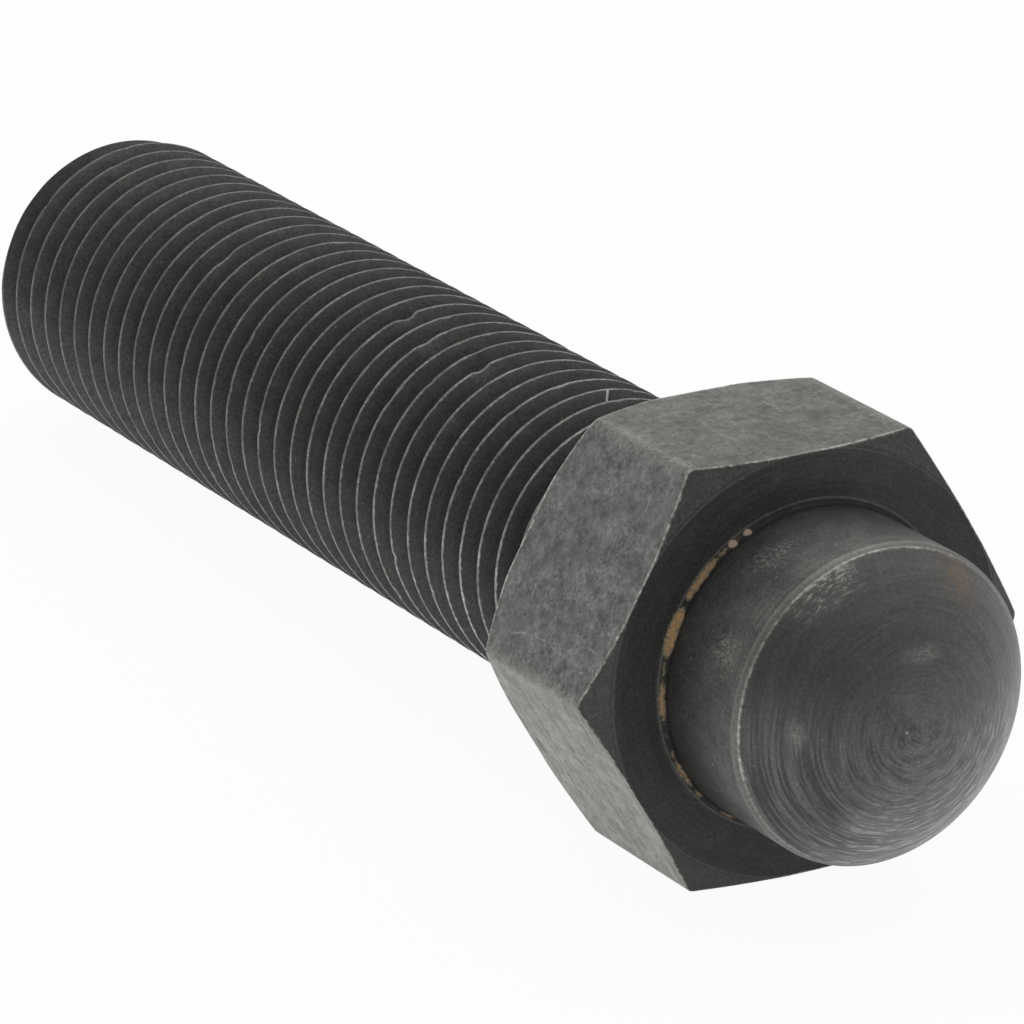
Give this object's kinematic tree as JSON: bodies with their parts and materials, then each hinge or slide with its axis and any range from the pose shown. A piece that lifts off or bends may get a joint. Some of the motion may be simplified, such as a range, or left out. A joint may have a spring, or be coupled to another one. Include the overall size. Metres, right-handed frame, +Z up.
{
  "type": "adjustable locating screw",
  "caption": "One-piece work-holding locating screw: fine-pitch threaded shank, chamfered hexagon head and a short round nose with a crowned end, lying at rest.",
  "frame": {"origin": "middle of the box's lowest level, on the surface the screw lies on", "axes": "+X along the screw from the thread's end towards the nose, +Z up, away from the surface it lies on"},
  "size_m": [0.0493, 0.0146, 0.013],
  "materials": {
    "black_oxide_steel": "black oxide on turned steel, satin, with worn bright edges"
  },
  "bodies": {
    "root": {"locating_screw": "black_oxide_steel"}
  },
  "joints": []
}
